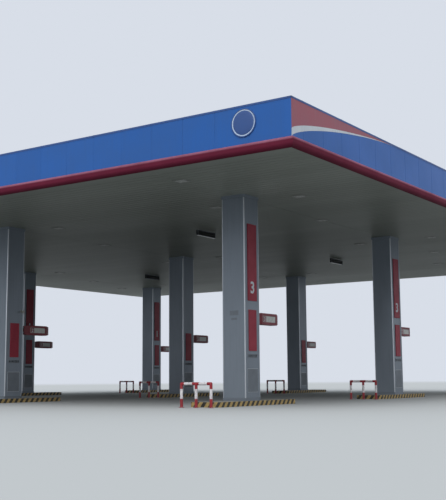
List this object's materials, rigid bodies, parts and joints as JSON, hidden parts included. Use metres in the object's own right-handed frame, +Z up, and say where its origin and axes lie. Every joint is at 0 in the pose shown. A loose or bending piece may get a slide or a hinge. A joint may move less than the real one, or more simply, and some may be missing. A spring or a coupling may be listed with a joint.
{
  "type": "filling station canopy",
  "caption": "Filling station canopy: clad columns on pump islands carry a flat roof with a deep coloured fascia, bull-nosed edge band and panelled soffit with recessed lights.",
  "frame": {"origin": "on the ground under the middle of the canopy", "axes": "+Z up; the drive lanes run along Y, the front with the plain badge is at -Y, and +X is its right"},
  "size_m": [34.8, 35.7, 8.955],
  "materials": {
    "concrete": "trowelled concrete, dusty",
    "kerb_stripes": "yellow and black warning stripes, scuffed",
    "guard_paint": "red and white bands, scuffed",
    "frame_steel": "matt primer",
    "cladding_grey": "metallic grey coated panel, satin",
    "bright_trim": "bright anodised",
    "kick_plate": "brushed, scuffed",
    "board_red": "satin",
    "hatch_grey": "satin",
    "flag_casing": "red casing with pale faces, satin",
    "galvanised": "galvanised",
    "soffit_grey": "coated metal strips, glossy",
    "lamp_white": "satin",
    "lamp_lens": "opal",
    "board_black": "gloss",
    "fascia_blue": "coated composite panel, satin",
    "field_white": "satin",
    "field_red": "satin",
    "badge_white": "gloss, no marking",
    "band_red": "satin",
    "coping_blue": "dark blue, satin",
    "roof_sheet": "coated sheet, dusty"
  },
  "bodies": {
    "root": {"islands": "concrete", "kerb_plates": "kerb_stripes", "island_guards": "guard_paint", "column_cores": "frame_steel", "cladding_left": "cladding_grey", "cladding_middle": "cladding_grey", "cladding_right": "cladding_grey", "corner_trims": "bright_trim", "kick_plates": "kick_plate", "column_collars": "cladding_grey", "number_boards": "board_red", "notice_boards": "board_red", "vent_grilles": "hatch_grey", "access_hatches": "hatch_grey", "flag_boxes": "flag_casing", "flag_arms": "cladding_grey", "main_girders": "frame_steel", "cross_girders": "frame_steel", "edge_beams_ends": "frame_steel", "edge_beams_sides": "frame_steel", "soffit_rails": "galvanised", "fascia_posts": "galvanised", "purlins": "galvanised", "soffit_lanes": "soffit_grey", "soffit_edges": "soffit_grey", "light_bodies": "lamp_white", "light_lenses": "lamp_lens", "lane_boards": "board_black", "lane_hangers": "galvanised", "fascia_front": "fascia_blue", "fascia_back": "fascia_blue", "fascia_left": "fascia_blue", "fascia_right": "fascia_blue", "white_sweeps": "field_white", "red_fields": "field_red", "blank_badge": "badge_white", "edge_bands_ends": "band_red", "edge_bands_sides": "band_red", "copings_ends": "coping_blue", "copings_sides": "coping_blue", "parapet_linings": "galvanised", "roof_deck_left": "roof_sheet", "roof_deck_right": "roof_sheet", "ridge_cap": "roof_sheet", "gutters": "galvanised"}
  },
  "joints": []
}
